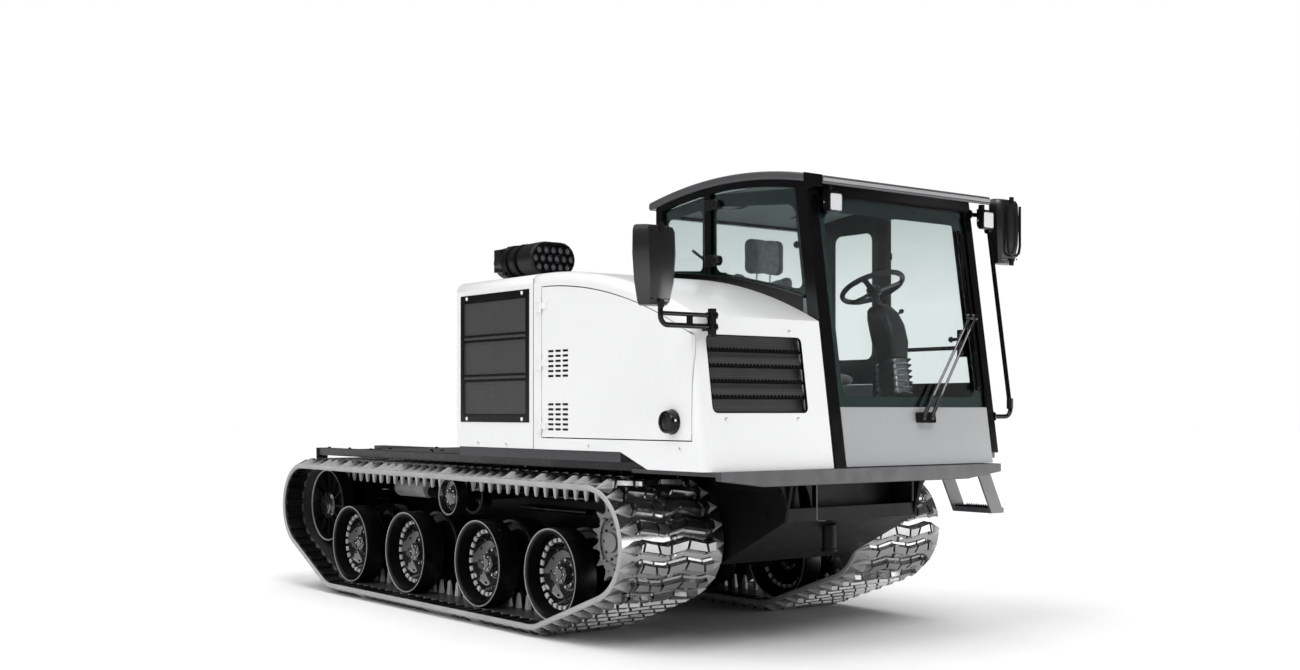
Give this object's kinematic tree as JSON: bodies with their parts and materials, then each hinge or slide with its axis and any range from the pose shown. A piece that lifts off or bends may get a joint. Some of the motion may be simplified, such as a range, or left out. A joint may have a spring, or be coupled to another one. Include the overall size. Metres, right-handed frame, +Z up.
{
  "type": "crawler carrier",
  "caption": "Two-track crawler carrier with an off-centre glazed cab, an engine bay beside it and a bare load deck with bolt-on rails behind.",
  "frame": {"origin": "on the ground under the middle of the box that holds the machine", "axes": "+X forward, +Y to the driver's left, +Z up"},
  "size_m": [4.8494, 3, 2.62],
  "materials": {
    "white_panel": "gloss",
    "black_paint": "gloss",
    "dark_grey_panel": "satin",
    "chassis_paint": "satin",
    "grey_panel": "gloss",
    "grille_sheet": "satin",
    "rubber": "matte",
    "cast_metal": "satin",
    "black_plastic": "satin",
    "tinted_glass": "gloss",
    "seat_fabric": "matte"
  },
  "bodies": {
    "machine": {"chassis_tub": "chassis_paint", "rear_hitch": "dark_grey_panel", "deck_rails": "dark_grey_panel", "body_rails": "black_paint", "mounting_rails": "dark_grey_panel", "deck_beams": "dark_grey_panel", "engine_floor": "dark_grey_panel", "front_platform": "dark_grey_panel", "nose_frame": "chassis_paint", "cab_step": "chassis_paint", "engine_hood": "white_panel", "front_grille": "grille_sheet", "radiator_housing": "white_panel", "side_grilles": "grille_sheet", "hood_hinge_leaves": "white_panel", "engine": "cast_metal", "radiator": "cast_metal", "air_cleaner": "black_plastic", "cab_pillars": "black_paint", "cab_roof_rails": "black_paint", "cab_roof": "dark_grey_panel", "cab_floor": "dark_grey_panel", "cab_walls": "dark_grey_panel", "cab_front_panel": "grey_panel", "windshield": "tinted_glass", "cab_glass": "tinted_glass", "cab_hinge_leaves": "black_paint", "seat_base": "black_plastic", "seat_cushions": "seat_fabric", "steering_column": "black_plastic", "side_console": "black_plastic", "mirrors": "black_plastic", "right_mirror_arm": "black_paint", "handrail": "black_paint", "work_lights": "black_plastic", "wiper": "black_paint", "sprockets": "cast_metal", "final_drives": "black_paint", "idlers": "chassis_paint", "return_rollers": "chassis_paint", "right_track": "rubber", "left_track": "rubber", "right_tyres": "rubber", "left_tyres": "rubber", "right_wheel_rims": "chassis_paint", "left_wheel_rims": "chassis_paint", "right_bogies": "chassis_paint", "left_bogies": "chassis_paint"},
    "engine_door_panel": {"engine_door": "white_panel", "engine_door_hinges": "white_panel", "engine_door_latch": "black_plastic"},
    "cab_door_panel": {"cab_door": "black_paint", "cab_door_glass": "tinted_glass", "cab_door_fittings": "black_paint"},
    "steering": {"steering_wheel": "black_plastic"}
  },
  "joints": [
    {"name": "engine_door_hinge", "type": "hinge", "parent": "machine", "child": "engine_door_panel", "pos_m": [0.925, -1.128, 1.545], "axis": [0, 0, -1], "range_deg": [0, 110]},
    {"name": "cab_door_hinge", "type": "hinge", "parent": "machine", "child": "cab_door_panel", "pos_m": [1.455, 1.122, 1.74], "axis": [0, 0, 1], "range_deg": [0, 95]},
    {"name": "steering_turn", "type": "hinge", "parent": "machine", "child": "steering", "pos_m": [1.96, 0.48, 1.985], "axis": [-0.4226, 0, 0.9063], "range_deg": [-110, 110]}
  ]
}
